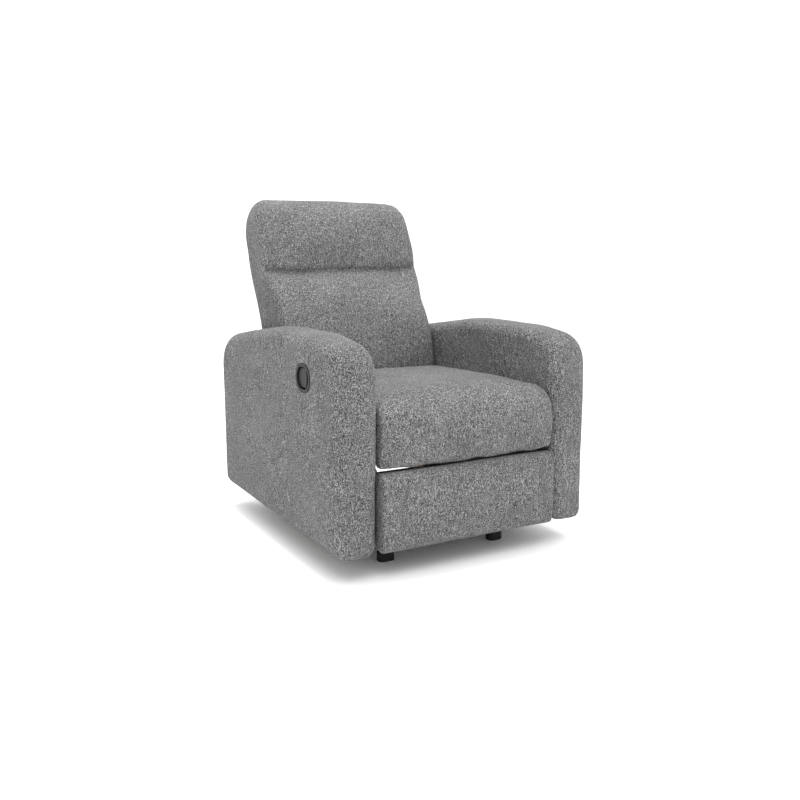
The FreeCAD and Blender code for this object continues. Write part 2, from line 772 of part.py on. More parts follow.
def make_back():
    soft_slab("lumbar_cushion",
              [(108, 402, 10), (122, 520, 400), (160, 625, 400), (275, 787, 10),
               (355, 787), (292, 690), (244, 596), (214, 500), (194, 402)],
              "18", "back_half",
              lambda e: e.BoundBox.XLength < 1 and e.BoundBox.YMin < 145 or
              e.BoundBox.XLength < 1 and e.BoundBox.ZMin > 590 and e.BoundBox.YMax < 280)
    soft_slab("headrest_cushion",
              [(277, 792, 10), (312, 880, 300), (368, 1028, 50), (502, 1022, 44), (518, 940, 60),
               (508, 892), (478, 884), (402, 884), (366, 792)],
              "20", "back_half",
              lambda e: e.BoundBox.XLength < 1 and e.BoundBox.ZMax > 960 and e.Length > 30 or
              e.BoundBox.XLength < 1 and e.BoundBox.YMin < 280 and e.Length > 120)
    plate("outside_back", "YZ_Plane",
          [(345, 262), (352, 428), (374, 596), (478, 800), (507, 884), (480, 883),
           (450, 808), (347, 606), (326, 434), (319, 262)],
          "2 * <back_half>", shift={"_at_x": "-<back_half>"})

    for name, side in SIDES:
        near = "<back_half> - <side_pad>" if side > 0 else "-<back_half>"
        plate(f"back_side_pad_{name}", "YZ_Plane",
              [(216, 490), (217, 500), (247, 598), (295, 692), (356, 788), (370, 792),
               (446, 872), (474, 872), (449, 810), (344, 606), (330, 490)],
              "<side_pad>", shift={"_at_x": near})
        near = ("<back_half> - <side_pad> - <stile_gap> - <stile_width>" if side > 0
                else "-<back_half> + <side_pad> + <stile_gap>")
        plate(f"back_stile_{name}", "YZ_Plane",
              [along_back(0, 0), along_back(STILE_LENGTH, 0),
               along_back(STILE_LENGTH, STILE_DEPTH), along_back(0, STILE_DEPTH)],
              "<stile_width>", shift={"_at_x": near})

    span = "2 * (<back_half> - <side_pad> - <stile_gap> - <stile_width>)"
    for node, low, high in (("back_bottom_rail", 70, 110), ("back_top_rail", 525, 565)):
        plate(node, "YZ_Plane",
              [along_back(low, 4), along_back(high, 4), along_back(high, STILE_DEPTH - 4),
               along_back(low, STILE_DEPTH - 4)], span,
              shift={"_at_x": "-<back_half> + <side_pad> + <stile_gap> + <stile_width>"})

    hinge, cam = (size("hinge_y"), size("hinge_z")), cam_point(0)
    pins = []
    outer = "<back_half> - <side_pad> - <bracket_inset>"
    for name, side in SIDES:
        near = outer if side > 0 else f"-({outer}) - <plate>"
        plate(f"back_bracket_{name}", "YZ_Plane",
              [(145, 356, 9), (190, 322, 10), (240, 330, 12), (262, 410, 8), (226, 414, 8),
               (170, 386, 10), (145, 384, 9)],
              "<plate>", holes=[(hinge, "<pin_radius>"), (cam, "<pin_radius>")],
              shift={"_at_x": near})
        for label, (y, z) in (("hinge", hinge), ("cam", cam)):
            length = f"<{label}_pin_length>"
            begin = outer if side > 0 else f"-({outer}) - {length}"
            pins.append(rod(f"{label}_pin_{name}", "<pin_radius>", length, begin, str(y), str(z)))
    group("back_pins", pins)


# ---------------------------------------------------------------- footrest linkage
def link(node, x_word, side, start, end, holes, extra_width=0):
    """Steel strip with round ends and pin holes."""
    outline = slot_outline(start, end, size("link_half_width") + extra_width)
    return plate(node, "YZ_Plane", outline, "<plate>", holes=holes,
                 shift={"_at_x": at_side(x_word, side)})


def make_links(points):
    loose = "<pin_radius> + <pin_clearance>"
    tight = "<pin_radius>"
    pivot, cross, knee = points["pivot"], points["cross"], points["knee"]
    bracket, upper, roller = points["bracket"], points["upper"], points["roller"]
    keep(rod("torque_shaft", "<shaft_radius>", "2 * (<rear_link_x> + <plate>)",
             "-<rear_link_x> - <plate>", "<pivot_y>", "<pivot_z>"), "torque_shaft")

    pins = {"rear_link_pins": [], "control_link_pins": [], "footrest_pins": []}

    def layer(x_word):
        return size(x_word), size(x_word) + size("plate")

    def pin(kind, side, near, far, place):
        start = near if side > 0 else -far
        pins[kind].append(rod(f"{kind}_{len(pins[kind])}", tight, str(far - near), str(start),
                              str(place[0]), str(place[1])))

    for name, side in SIDES:
        link(f"rear_link_{name}", "rear_link_x", side, pivot, knee,
             [(pivot, "<shaft_radius>"), (cross, tight), (knee, tight)], extra_width=4)
        link(f"control_link_{name}", "control_link_x", side, roller, upper,
             [(cross, loose), (roller, tight), (upper, tight)])
        link(f"front_link_{name}", "front_link_x", side, knee, bracket,
             [(knee, loose), (bracket, loose)])

        rear, control, front = layer("rear_link_x"), layer("control_link_x"), layer("front_link_x")
        inner, guide = layer("bracket_x"), layer("guide_x")
        pin("rear_link_pins", side, rear[0], control[1] + 0.8, cross)
        pin("rear_link_pins", side, front[0] - 0.9, rear[1], knee)
        pin("control_link_pins", side, inner[0] + 0.4, control[1], upper)
        pin("control_link_pins", side, control[0], guide[1] - 0.4, roller)
        pin("footrest_pins", side, inner[0], front[1] + 0.7, bracket)
    for node, shapes in pins.items():
        group(node, shapes)


def make_footrest(points):
    """Brackets on the links, the board that they carry and the pad in front of it."""
    bracket, upper = points["bracket"], points["upper"]
    front = size("footrest_rear") + size("board_thick")
    for name, side in SIDES:
        plate(f"footrest_bracket_{name}", "YZ_Plane",
              [(upper[0] + 9, upper[1] - 5, 5), (upper[0] + 9, upper[1] + 10, 8),
               (upper[0] - 10, upper[1] + 10, 8), (front, 250), (front, 125), (front + 9, 125),
               (bracket[0] + 8, bracket[1] - 9, 7), (bracket[0] + 8, bracket[1] + 10, 6),
               (-432, 230), (-432, 260, 3)],
              "<plate>",
              holes=[(bracket, "<pin_radius>"), (upper, "<pin_radius> + <slot_clearance>")],
              shift={"_at_x": at_side("bracket_x", side)})
    keep(box("footrest_panel", "2 * <seat_half> - <board_thick>", "<board_thick>",
             "<board_height>", "-<seat_half> + <board_thick> / 2", "<footrest_rear>",
             "<board_low>"), "footrest_board")
    rear = size("footrest_rear")
    soft_slab("footrest_pad",
              [(rear, 80), (-508, 77, 14), (-515, 170, 300), (-512, 298, 10), (rear, 262)],
              "12", "seat_half", lambda e: e.BoundBox.XLength < 1 and e.BoundBox.YMax < -480)


# ---------------------------------------------------------------- make, check and write
pivots = linkage()
make_base()
for arm_name, arm_side in SIDES:
    make_arm(arm_name, arm_side)
make_cup()
make_cable()
make_mechanism_plates(pivots)
make_rocker()
make_apron()
make_seat()
make_springs()
make_back()
make_links(pivots)
make_footrest(pivots)
doc.recompute()

for item in doc.Objects:
    if "Invalid" in item.State or "Error" in item.State:
        raise RuntimeError(f"{item.Label} failed: {item.State}")
for item in subparts:
    if item.Shape.isNull() or not item.Shape.isValid():
        raise RuntimeError(f"{item.Label} has no valid shape")

os.makedirs("parts", exist_ok=True)
for item in subparts:
    item.Shape.exportStep(os.path.join("parts", f"{item.Label}.step"))
    limits = item.Shape.BoundBox
    print(f"{item.Label}: {len(item.Shape.Solids)} solid(s), {item.Shape.Volume / 1e6:.3f} dm3, "
          f"x {limits.XMin:.1f}..{limits.XMax:.1f} y {limits.YMin:.1f}..{limits.YMax:.1f} "
          f"z {limits.ZMin:.1f}..{limits.ZMax:.1f}")
print(len(subparts), "sub-parts")
for name, (y, z) in pivots.items():
    print(f"{name}: y {y:.3f}, z {z:.3f}")
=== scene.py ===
"""Looks of the rocker recliner: upholstery, materials, floor, light and camera. Metres."""
import json
import math

import bmesh
import bpy
import numpy as np
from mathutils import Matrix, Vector, noise


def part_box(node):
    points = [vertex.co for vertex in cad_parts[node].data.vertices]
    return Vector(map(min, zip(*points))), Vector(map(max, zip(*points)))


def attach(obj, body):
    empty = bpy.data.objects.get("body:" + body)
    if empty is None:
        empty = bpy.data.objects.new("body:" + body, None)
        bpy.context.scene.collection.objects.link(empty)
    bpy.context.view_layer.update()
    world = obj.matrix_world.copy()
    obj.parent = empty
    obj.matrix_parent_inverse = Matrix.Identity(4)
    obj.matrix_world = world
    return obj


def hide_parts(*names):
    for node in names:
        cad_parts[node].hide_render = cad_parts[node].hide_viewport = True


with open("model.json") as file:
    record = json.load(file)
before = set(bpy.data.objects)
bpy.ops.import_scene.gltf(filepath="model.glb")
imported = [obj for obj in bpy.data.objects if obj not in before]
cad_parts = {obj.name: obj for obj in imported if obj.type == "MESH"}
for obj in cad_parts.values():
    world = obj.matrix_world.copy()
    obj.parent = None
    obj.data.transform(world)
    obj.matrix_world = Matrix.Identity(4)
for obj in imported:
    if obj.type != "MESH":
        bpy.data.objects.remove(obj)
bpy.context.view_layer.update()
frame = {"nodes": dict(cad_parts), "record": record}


# ---------------------------------------------------------------- node helpers
class Shader:
    """Small helper that builds one node material."""

    def __init__(self, name):
        self.material = bpy.data.materials.new(name)
        self.material.use_nodes = True
        self.tree = self.material.node_tree
        self.shader = self.tree.nodes["Principled BSDF"]
        self.place = self.node("ShaderNodeTexCoord").outputs["Object"]

    def node(self, kind, **settings):
        made = self.tree.nodes.new(kind)
        for key, value in settings.items():
            setattr(made, key, value)
        return made

    def join(self, source, target):
        if isinstance(source, (int, float)):
            target.default_value = source
        else:
            self.tree.links.new(source, target)

    def math(self, operation, first, second=0.0):
        made = self.node("ShaderNodeMath", operation=operation)
        self.join(first, made.inputs[0])
        self.join(second, made.inputs[1])
        return made.outputs[0]

    def stretched(self, factors):
        made = self.node("ShaderNodeMapping")
        self.join(self.place, made.inputs["Vector"])
        made.inputs["Scale"].default_value = factors
        return made.outputs[0]

    def noise(self, scale, detail=2.0, roughness=0.5, factors=None, distortion=0.0):
        made = self.node("ShaderNodeTexNoise")
        self.join(self.stretched(factors) if factors else self.place, made.inputs["Vector"])
        made.inputs["Scale"].default_value = scale
        made.inputs["Detail"].default_value = detail
        made.inputs["Roughness"].default_value = roughness
        made.inputs["Distortion"].default_value = distortion
        return made.outputs["Fac"]

    def ramp(self, value, stops):
        made = self.node("ShaderNodeValToRGB")
        self.join(value, made.inputs["Fac"])
        band = made.color_ramp
        while len(band.elements) < len(stops):
            band.elements.new(0.5)
        for element, (position, colour) in zip(band.elements, stops):
            element.position = position
            element.color = (*colour, 1.0)
        return made.outputs["Color"]

    def bump(self, height, strength, distance):
        made = self.node("ShaderNodeBump")
        made.inputs["Strength"].default_value = strength
        made.inputs["Distance"].default_value = distance
        self.join(height, made.inputs["Height"])
        return made.outputs["Normal"]

    def set(self, **values):
        for name, value in values.items():
            self.shader.inputs[name.replace("_", " ")].default_value = value


def fabric_material():
    """Grey heather cloth: light and dark yarn flecks in a plain weave, slightly slubbed upright."""
    made = Shader("grey_heather_weave")
    thread = 2 * math.pi / 0.0034
    split = made.node("ShaderNodeSeparateXYZ")
    made.join(made.place, split.inputs[0])
    waves = [made.math("SINE", made.math("MULTIPLY", split.outputs[i], thread)) for i in range(3)]
    normal = made.node("ShaderNodeSeparateXYZ")
    facing = made.node("ShaderNodeVectorTransform", vector_type="NORMAL",
                       convert_from="WORLD", convert_to="OBJECT")
    made.join(made.node("ShaderNodeNewGeometry").outputs["Normal"], facing.inputs[0])
    made.join(facing.outputs[0], normal.inputs[0])
    weave = 0.0
    for axis in range(3):
        share = made.math("POWER", made.math("ABSOLUTE", normal.outputs[axis]), 3.0)
        first, second = (waves[i] for i in range(3) if i != axis)
        cell = made.math("MULTIPLY", made.math("MULTIPLY", first, second), share)
        weave = made.math("ADD", cell, weave)
    flecks = made.noise(500.0, 2.0, 0.6, (1.0, 0.55, 0.65))
    slubs = made.noise(210.0, 2.0, 0.5, (1.0, 1.0, 0.25))
    clouds = made.noise(9.0, 3.0, 0.5)
    yarn = made.math("ADD", made.math("MULTIPLY", flecks, 0.76), made.math("MULTIPLY", slubs, 0.18))
    yarn = made.math("ADD", yarn, made.math("MULTIPLY", weave, 0.030))
    yarn = made.math("ADD", yarn, made.math("MULTIPLY", clouds, 0.06))
    made.join(made.ramp(yarn, [
        (0.37, (0.015, 0.0155, 0.016)), (0.46, (0.066, 0.0665, 0.067)),
        (0.54, (0.132, 0.132, 0.132)), (0.66, (0.37, 0.37, 0.366))]),
        made.shader.inputs["Base Color"])
    height = made.math("ADD", made.math("MULTIPLY", weave, 0.5), flecks)
    made.join(made.bump(height, 0.55, 0.0011), made.shader.inputs["Normal"])
    made.set(Roughness=0.93, Sheen_Weight=0.06, Sheen_Roughness=0.55, Specular_IOR_Level=0.15)
    return made.material


def plastic_material(name, colour, roughness, grain):
    """Moulded plastic with a fine spark-eroded grain."""
    made = Shader(name)
    pores = made.noise(900.0, 2.0, 0.6)
    patches = made.noise(14.0, 3.0, 0.5)
    dark = tuple(part * 0.75 for part in colour)
    made.join(made.ramp(patches, [(0.3, dark), (0.7, colour)]), made.shader.inputs["Base Color"])
    rough = made.math("ADD", made.math("MULTIPLY", patches, 0.14), roughness - 0.07)
    made.join(rough, made.shader.inputs["Roughness"])
    made.join(made.bump(pores, grain, 0.0003), made.shader.inputs["Normal"])
    made.set(Specular_IOR_Level=0.2)
    return made.material


def metal_material(name, colour, roughness, metallic, streaks):
    """Steel: painted with a little orange peel, or bright with rolling streaks."""
    made = Shader(name)
    long_marks = made.noise(60.0, 4.0, 0.6, streaks)
    peel = made.noise(420.0, 1.0, 0.5)
    dark = tuple(part * 0.7 for part in colour)
    made.join(made.ramp(long_marks, [(0.3, dark), (0.65, colour)]),
              made.shader.inputs["Base Color"])
    rough = made.math("ADD", made.math("MULTIPLY", long_marks, 0.2), roughness - 0.1)
    made.join(rough, made.shader.inputs["Roughness"])
    made.join(made.bump(peel, 0.12, 0.0004), made.shader.inputs["Normal"])
    made.set(Metallic=metallic)
    return made.material


def wood_material():
    """Plain sawn frame timber and plywood, unfinished."""
    made = Shader("frame_timber")
    grain = made.noise(26.0, 6.0, 0.62, (9.0, 1.0, 9.0), 0.6)
    pores = made.noise(240.0, 2.0, 0.6, (3.0, 0.4, 3.0))
    blend = made.math("ADD", made.math("MULTIPLY", grain, 0.8), made.math("MULTIPLY", pores, 0.2))
    made.join(made.ramp(blend, [(0.32, (0.30, 0.18, 0.09)), (0.5, (0.50, 0.34, 0.19)),
                                (0.68, (0.64, 0.47, 0.29))]), made.shader.inputs["Base Color"])
    made.join(made.bump(pores, 0.3, 0.0005), made.shader.inputs["Normal"])
    made.set(Roughness=0.72)
    return made.material


def rubber_material():
    """Black rubber with a little dust on it."""
    made = Shader("bumper_rubber")
    dust = made.noise(40.0, 4.0, 0.6)
    made.join(made.ramp(dust, [(0.35, (0.012, 0.012, 0.012)), (0.75, (0.045, 0.044, 0.042))]),
              made.shader.inputs["Base Color"])
    made.join(made.bump(made.noise(500.0), 0.3, 0.0004), made.shader.inputs["Normal"])
    made.set(Roughness=0.85)
    return made.material


def floor_material():
    """Matt and nearly white."""
    made = Shader("pale_floor")
    mottle = made.noise(3.0, 4.0, 0.5)
    made.join(made.ramp(mottle, [(0.2, (0.96, 0.96, 0.96)), (0.8, (0.99, 0.99, 0.99))]),
              made.shader.inputs["Base Color"])
    made.set(Roughness=0.9, Specular_IOR_Level=0.1)
    return made.material


FABRIC = fabric_material()
MATERIALS = {
    "grey_fabric": FABRIC,
    "frame_wood": wood_material(),
    "spring_wire": metal_material("spring_wire", (0.42, 0.42, 0.43), 0.42, 1.0, (1, 1, 1)),
    "black_plastic": plastic_material("black_moulded_plastic", (0.010, 0.010, 0.011), 0.48, 0.25),
    "lever_plastic": plastic_material("lever_moulded_plastic", (0.016, 0.016, 0.017), 0.45, 0.15),
    "bumper_rubber": rubber_material(),
    "bright_steel": metal_material("bright_steel", (0.6, 0.6, 0.6), 0.3, 1.0, (0.2, 4, 4)),
    "black_steel": metal_material("black_painted_steel", (0.03, 0.03, 0.032), 0.45, 0.0, (1, 1, 1)),
}


def paint_frame():
    """Give every CAD node the better material of its slot."""
    slots = {part["node"]: part["material_slot"] for part in frame["record"]["subparts"]}
    for node, piece in frame["nodes"].items():
        piece.data.materials.clear()
        piece.data.materials.append(MATERIALS[slots[node]])


# ---------------------------------------------------------------- shapes
def corner_outline(points, spacing=0.010):
    """Closed outline sampled from straight runs with round corners: points are (y, z, radius)."""
    flat = [np.array(point[:2], float) for point in points]
    ring = []
    count = len(points)
    for index, point in enumerate(points):
        here, radius = flat[index], point[2]
        back = flat[index - 1] - here
        ahead = flat[(index + 1) % count] - here
        back_way, ahead_way = back / np.linalg.norm(back), ahead / np.linalg.norm(ahead)
        half = math.acos(np.clip(back_way @ ahead_way, -1, 1)) / 2
        run = radius / math.tan(half)
        start, end = here + back_way * run, here + ahead_way * run
        inward = back_way + ahead_way
        centre = here + inward / np.linalg.norm(inward) * radius / math.sin(half)
        steps = max(2, int(radius * (math.pi - 2 * half) / spacing))
        first = math.atan2(*(start - centre)[::-1])
        turn = math.atan2(*(end - centre)[::-1]) - first
        turn = (turn + math.pi) % (2 * math.pi) - math.pi
        for step in range(steps + 1):
            angle = first + turn * step / steps
            ring.append(centre + radius * np.array([math.cos(angle), math.sin(angle)]))
    closed = np.array(ring + [ring[0]])
    length = np.concatenate([[0], np.cumsum(np.linalg.norm(np.diff(closed, axis=0), axis=1))])
    places = np.linspace(0, length[-1], int(length[-1] / spacing), endpoint=False)
    return np.stack([np.interp(places, length, closed[:, i]) for i in range(2)], axis=1)


def inward_shift(ring, depth):
    """The outline moved inwards by a depth that a tight corner limits."""
    before, after = np.roll(ring, 1, axis=0), np.roll(ring, -1, axis=0)
    along = after - before
    along /= np.linalg.norm(along, axis=1)[:, None]
    area = np.sum(ring[:, 0] * np.roll(ring[:, 1], -1) - np.roll(ring[:, 0], -1) * ring[:, 1])
    inward = np.stack([-along[:, 1], along[:, 0]], axis=1) * (1 if area > 0 else -1)
    wide = 4
    ahead = np.roll(ring, -wide, axis=0) - ring
    back = np.roll(ring, wide, axis=0) - ring
    chord = np.linalg.norm(np.roll(ring, -wide, axis=0) - np.roll(ring, wide, axis=0), axis=1)
    turn = np.abs(np.cross(ahead, back)) / (
        np.linalg.norm(ahead, axis=1) * np.linalg.norm(back, axis=1) * chord + 1e-9)
    radius = 1 / np.maximum(2 * turn, 1e-3)
    limit = np.minimum(depth, 0.85 * radius)
    for _ in range(6):
        limit = np.minimum(limit, (np.roll(limit, 1) + np.roll(limit, -1) + limit) / 3 + 1e-4)
    return ring + inward * limit[:, None]


def lofted(name, ring, low_x, high_x, rounding, crown=0.0):
    """Closed body: the outline carried across X, drawn in round both ends."""
    steps = 8
    near = [rounding * (1 - math.cos(math.pi / 2 * i / steps)) for i in range(steps + 1)]
    depth = [rounding * (1 - math.sin(math.pi / 2 * i / steps)) for i in range(steps + 1)]
    middle = max(2, int((high_x - low_x - 2 * rounding) / 0.02))
    layers = [(low_x + a, d) for a, d in zip(near, depth)]
    layers += [(low_x + rounding + (high_x - low_x - 2 * rounding) * i / middle, 0.0)
               for i in range(1, middle)]
    layers += [(high_x - a, d) for a, d in zip(reversed(near), reversed(depth))]
    mesh = bmesh.new()
    rings = []
    half = (high_x - low_x) / 2
    for x, drawn_in in layers:
        across = (x - low_x - half) / half
        swell = crown * (across * across)
        points = inward_shift(ring, drawn_in + swell)
        rings.append([mesh.verts.new((x, y, z)) for y, z in points])
    for first, second in zip(rings, rings[1:]):
        for i in range(len(first)):
            j = (i + 1) % len(first)
            mesh.faces.new((first[i], first[j], second[j], second[i]))
    mesh.faces.new(rings[0])
    mesh.faces.new(list(reversed(rings[-1])))
    bmesh.ops.recalc_face_normals(mesh, faces=mesh.faces)
    data = bpy.data.meshes.new(name)
    mesh.to_mesh(data)
    mesh.free()
    piece = bpy.data.objects.new(name, data)
    bpy.context.scene.collection.objects.link(piece)
    return piece


def apply_modifiers(piece):
    """Bake the piece's modifiers into its mesh."""
    graph = bpy.context.evaluated_depsgraph_get()
    data = bpy.data.meshes.new_from_object(piece.evaluated_get(graph))
    piece.modifiers.clear()
    old = piece.data
    piece.data = data
    bpy.data.meshes.remove(old)


def remesh(piece, voxel):
    change = piece.modifiers.new("even", "REMESH")
    change.mode = "VOXEL"
    change.voxel_size = voxel
    change.adaptivity = 0.0
    apply_modifiers(piece)


def smooth(piece, factor, times):
    change = piece.modifiers.new("soften", "SMOOTH")
    change.factor = factor
    change.iterations = times
    apply_modifiers(piece)


def subdivide(piece):
    change = piece.modifiers.new("finer", "SUBSURF")
    change.levels = change.render_levels = 1
    apply_modifiers(piece)


def read_points(piece):
    points = np.empty(len(piece.data.vertices) * 3)
    piece.data.vertices.foreach_get("co", points)
    return points.reshape(-1, 3)


def write_points(piece, points):
    piece.data.vertices.foreach_set("co", points.ravel())
    piece.data.update()


def read_normals(piece):
    normals = np.empty(len(piece.data.vertices) * 3)
    piece.data.vertex_normals.foreach_get("vector", normals)
    return normals.reshape(-1, 3)


def inflate(piece, cap, hold, pressure=4.0, frames=20):
    """Puff a closed cushion with the cloth solver, then limit how far any point has moved."""
    rest = read_points(piece)
    scene = bpy.context.scene
    cloth = piece.modifiers.new("puff", "CLOTH")
    setting = cloth.settings
    setting.quality = 4
    setting.mass = 0.3
    setting.use_pressure = True
    setting.uniform_pressure_force = pressure
    setting.effector_weights.gravity = 0.0
    setting.tension_stiffness = 18
    setting.compression_stiffness = 12
    setting.shear_stiffness = 8
    setting.bending_stiffness = 0.4
    cloth.collision_settings.use_collision = False
    cloth.collision_settings.use_self_collision = False
    held = piece.vertex_groups.new(name="held")
    held.add([int(index) for index in np.nonzero(hold(rest))[0]], 1.0, "REPLACE")
    setting.vertex_group_mass = "held"
    cloth.point_cache.frame_start = 1
    cloth.point_cache.frame_end = frames
    for number in range(1, frames + 1):
        scene.frame_set(number)
    apply_modifiers(piece)
    scene.frame_set(1)
    moved = read_points(piece) - rest
    far = np.linalg.norm(moved, axis=1)
    limited = cap * np.tanh(far / cap)
    write_points(piece, rest + moved * (limited / np.maximum(far, 1e-9))[:, None])


def wander(points, scale, seed):
    """Smooth noise value at each point, from -1 to 1."""
    shift = Vector((seed * 13.7, seed * 5.3, seed * 9.1))
    return np.array([noise.noise(Vector(point) * scale + shift) for point in points])


def rumple(piece, amount, scale, seed):
    """Small soft unevenness of padding under the cloth."""
    points, normals = read_points(piece), read_normals(piece)
    write_points(piece, points + normals * (wander(points, scale, seed) * amount)[:, None])


def dress(piece, body, *nodes):
    """Give a soft piece its cloth and body, and hide the CAD nodes that it stands for."""
    piece.data.materials.clear()
    piece.data.materials.append(FABRIC)
    for face in piece.data.polygons:
        face.use_smooth = True
    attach(piece, body)
    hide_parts(*nodes)


# ---------------------------------------------------------------- arms
def arm_outline(low, high):
    """Side outline of an arm from its box: upright front, long falling top, round rear corner."""
    front, rear, foot, top = low.y, high.y, low.z, high.z
    return corner_outline([
        (front + 0.010, foot, 0.012), (front + 0.001, foot + 0.36, 0.5),
        (front + 0.001, top - 0.028, 0.090), (front + 0.178, top - 0.003, 0.40),
        (front + 0.468, top + 0.001, 0.70), (rear - 0.095, top - 0.049, 0.20),
        (rear + 0.004, top - 0.084, 0.100), (rear - 0.004, foot + 0.31, 0.5),
        (rear - 0.022, foot, 0.030)])


def make_arm(name):
    """One arm's cover, which also hides the wooden box inside it."""
    low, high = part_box(f"arm_cover_{name}")
    ring = arm_outline(low, high)
    arm = lofted(f"arm_{name}_upholstery", ring, low.x + 0.0005, high.x - 0.0005, 0.033, 0.004)
    remesh(arm, 0.0065)
    smooth(arm, 0.5, 3)
    rumple(arm, 0.0022, 5.0, 1.0 if name == "left" else 2.0)
    rumple(arm, 0.0008, 17.0, 3.0 if name == "left" else 4.0)
    if name == "right":
        cup_recess(arm)
    subdivide(arm)
    dress(arm, "carcass", f"arm_cover_{name}", f"arm_frame_{name}")


def cup_recess(arm):
    """Open the cloth where the cup goes in."""
    low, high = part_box("cup_bezel")
    middle = (low + high) / 2
    half_y, half_z = (high.y - low.y) / 2 - 0.005, (high.z - low.z) / 2 - 0.005
    mesh = bmesh.new()
    mesh.from_mesh(arm.data)
    outer = [face for face in mesh.faces
             if face.calc_center_median().x < low.x + 0.03
             and ((face.calc_center_median().y - middle.y) / half_y) ** 2
             + ((face.calc_center_median().z - middle.z) / half_z) ** 2 < 1]
    bmesh.ops.delete(mesh, geom=outer, context="FACES")
    mesh.to_mesh(arm.data)
    mesh.free()


# ---------------------------------------------------------------- seat and back
def make_seat():
    """Seat cushion: crowned top and a big front roll, sewn down above the footrest."""
    low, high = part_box("seat_cushion")
    front, rear, foot, top = low.y, high.y, low.z, high.z
    ring = corner_outline([
        (front + 0.014, foot - 0.010, 0.012), (front + 0.003, foot + 0.05, 0.10),
        (front + 0.006, top - 0.021, 0.070), (front + 0.24, top - 0.018, 0.6),
        (rear - 0.002, top - 0.030, 0.022), (rear - 0.003, foot + 0.055, 0.008),
        (front + 0.060, foot + 0.055, 0.006), (front + 0.056, foot - 0.010, 0.006)], 0.008)
    seat = lofted("seat_upholstery", ring, low.x - 0.002, high.x + 0.002, 0.005, 0.004)
    remesh(seat, 0.006)
    round_front_corners(seat, front, foot + 0.09, 0.034)
    inflate(seat, 0.010, hold=lambda p: (p[:, 2] < foot + 0.062) | (p[:, 1] > rear - 0.015)
            | (np.abs(p[:, 0]) > high.x - 0.004))
    smooth(seat, 0.5, 2)
    rumple(seat, 0.0026, 4.5, 5.0)
    rumple(seat, 0.0010, 16.0, 6.0)
    wave_front_seam(seat, foot)
    clamp_sides(seat, low.x - 0.003, high.x + 0.003)
    subdivide(seat)
    dress(seat, "seat", "seat_cushion")


def round_front_corners(piece, front, above, reach):
    """Turn the two upper front corners in, seen from above and from in front."""
    softness = 0.75
    points = read_points(piece)
    edge = np.abs(points[:, 0]).max()
    into = np.clip((np.abs(points[:, 0]) - (edge - reach)) / reach, 0, 1)
    drop = 1 - np.sqrt(1 - into ** 2)
    ahead = np.clip((front + 3 * reach - points[:, 1]) / (3 * reach), 0, 1)
    raised = np.clip((points[:, 2] - above) / 0.10, 0, 1) ** 1.5
    points[:, 1] += softness * reach * drop * ahead * raised
    points[:, 2] -= softness * reach * drop * raised
    write_points(piece, points)


def round_top_corners(piece, top, radius):
    """Draw the two top corners down to a round, seen from in front."""
    points = read_points(piece)
    edge = np.abs(points[:, 0]).max()
    into = np.clip((np.abs(points[:, 0]) - (edge - radius)) / radius, 0, 1)
    share = np.clip((points[:, 2] - (top - 3 * radius)) / (3 * radius), 0, 1)
    points[:, 2] -= radius * (1 - np.sqrt(1 - into ** 2)) * share
    write_points(piece, points)


def swell_sides(piece, face, start, reach, amount):
    """Let the front edges stand out above a height, where no arm holds them in."""
    depth, fall = 0.14, 0.8
    points = read_points(piece)
    edge = np.abs(points[:, 0]).max()
    share = np.clip((points[:, 2] - start) / reach, 0, 1)
    share = share * share * (3 - 2 * share)
    share *= 1 - fall * np.clip(face.behind(points) / depth, 0, 1)
    points[:, 0] *= 1 + share * amount / edge
    write_points(piece, points)


def wave_front_seam(piece, foot):
    """Slightly uneven lower edge where the front roll is sewn down."""
    points = read_points(piece)
    low = np.clip((foot + 0.05 - points[:, 2]) / 0.05, 0, 1)
    wave = np.sin(points[:, 0] * 47.0 + 0.8) + 0.6 * np.sin(points[:, 0] * 83.0)
    points[:, 2] += 0.0016 * wave * low
    write_points(piece, points)


def clamp_sides(piece, low_x, high_x):
    """Keep a puffed cushion between the arms, flattened where it would press on them."""
    points = read_points(piece)
    points[:, 0] = np.clip(points[:, 0], low_x, high_x)
    write_points(piece, points)


class BackFront:
    """The front of the back: where it lies at each height, and the crease across it."""

    LEAN = 25.0

    def __init__(self, ring, crease):
        heights = np.linspace(ring[:, 1].min(), ring[:, 1].max(), 90)
        reach = 0.010
        self.heights = heights
        self.places = np.array([ring[np.abs(ring[:, 1] - z) < reach, 0].min() for z in heights])
        self.crease = crease

    def behind(self, points):
        """How far each point lies behind the front face at its own height."""
        return points[:, 1] - np.interp(points[:, 2], self.heights, self.places)

    def over_crease(self, points):
        """Height above the crease, which dips at one end and curls up at the other."""
        x = points[:, 0]
        line = self.crease - 0.006 * np.exp(-((x + 0.15) / 0.07) ** 2)
        line += 0.012 * np.clip((x - 0.19) / 0.08, 0, 1) ** 2
        return points[:, 2] - line

    def fold(self, piece, depth, upper, lower, end):
        """Roll the two pillows in to meet in a crease that fades out at its ends."""
        points = read_points(piece)
        over = self.over_crease(points)
        share = np.where(over > 0, 1 - over / upper, 1 + over / lower)
        share = np.clip(share, 0, 1)
        roll = 1 - np.sqrt(1 - share ** 2)
        fade = np.clip((end - np.abs(points[:, 0])) / 0.022, 0, 1)
        facing = np.clip(1 - self.behind(points) / 0.05, 0, 1)
        move = depth * roll * fade * facing
        lean = math.radians(self.LEAN)
        points[:, 1] += move * math.cos(lean)
        points[:, 2] -= move * math.sin(lean)
        write_points(piece, points)


